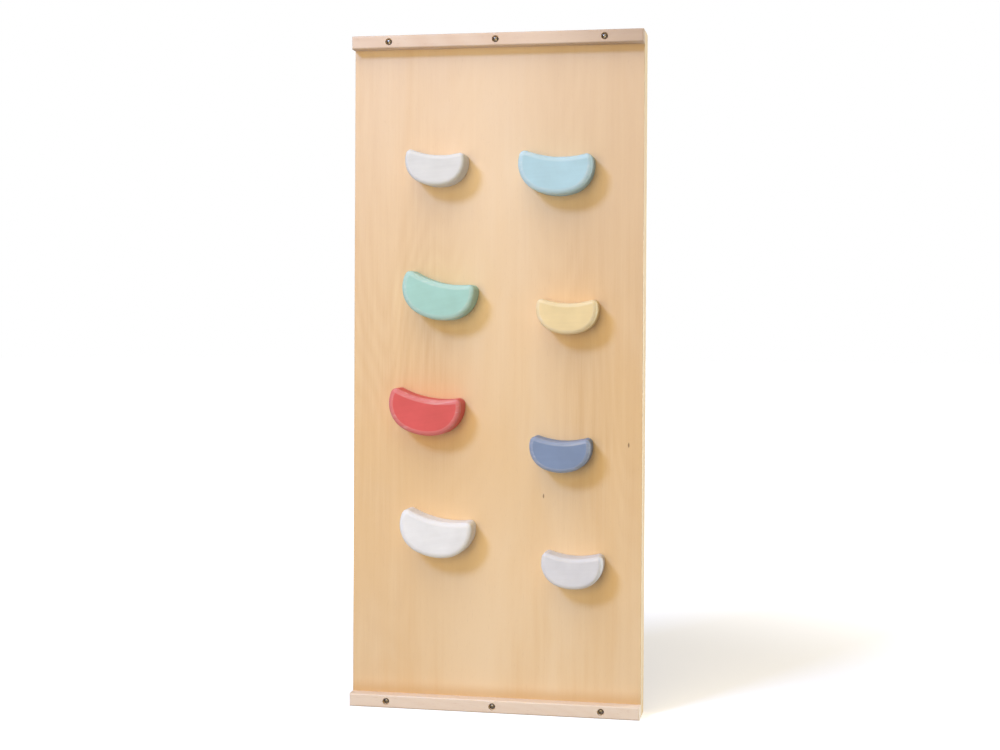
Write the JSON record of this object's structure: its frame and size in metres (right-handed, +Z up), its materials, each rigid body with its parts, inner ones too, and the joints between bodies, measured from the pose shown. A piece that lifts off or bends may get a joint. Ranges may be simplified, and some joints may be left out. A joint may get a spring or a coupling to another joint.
{
  "type": "climbing wall panel",
  "caption": "Upright plywood climbing panel with painted kidney-shaped wooden holds in staggered columns and screwed rails along its top and bottom edges.",
  "frame": {"origin": "on the floor under the middle of the whole object's box", "axes": "+Z up the panel, -Y out of the climbing face, +X to the right of someone facing it"},
  "size_m": [0.5, 0.09, 1.15],
  "materials": {
    "plywood": "clear satin lacquer over straight vertical grain",
    "front_rail_wood": "planed solid beech, clear satin lacquer",
    "batten_wood": "planed softwood, clear matt lacquer",
    "dowel_wood": "fluted beech, unfinished",
    "screw_steel": "zinc plated",
    "washer_steel": "zinc plated",
    "paint_light_grey": "matt opaque paint over smooth wood",
    "paint_mint": "matt opaque paint over smooth wood",
    "paint_coral": "matt opaque paint over smooth wood",
    "paint_white": "matt opaque paint over smooth wood",
    "paint_sky_blue": "matt opaque paint over smooth wood",
    "paint_yellow": "matt opaque paint over smooth wood",
    "paint_slate_blue": "matt opaque paint over smooth wood",
    "paint_pale_grey": "matt opaque paint over smooth wood"
  },
  "bodies": {
    "root": {"climbing_panel": "plywood", "top_front_rail": "front_rail_wood", "bottom_front_rail": "front_rail_wood", "top_back_rail": "batten_wood", "bottom_back_rail": "batten_wood", "left_back_stile": "batten_wood", "right_back_stile": "batten_wood", "hold_light_grey": "paint_light_grey", "hold_mint": "paint_mint", "hold_coral": "paint_coral", "hold_white": "paint_white", "hold_sky_blue": "paint_sky_blue", "hold_yellow": "paint_yellow", "hold_slate_blue": "paint_slate_blue", "hold_pale_grey": "paint_pale_grey", "top_rail_screws": "screw_steel", "bottom_rail_screws": "screw_steel", "hold_screws": "screw_steel", "batten_screws": "screw_steel", "hold_washers": "washer_steel", "frame_dowels": "dowel_wood"}
  },
  "joints": []
}
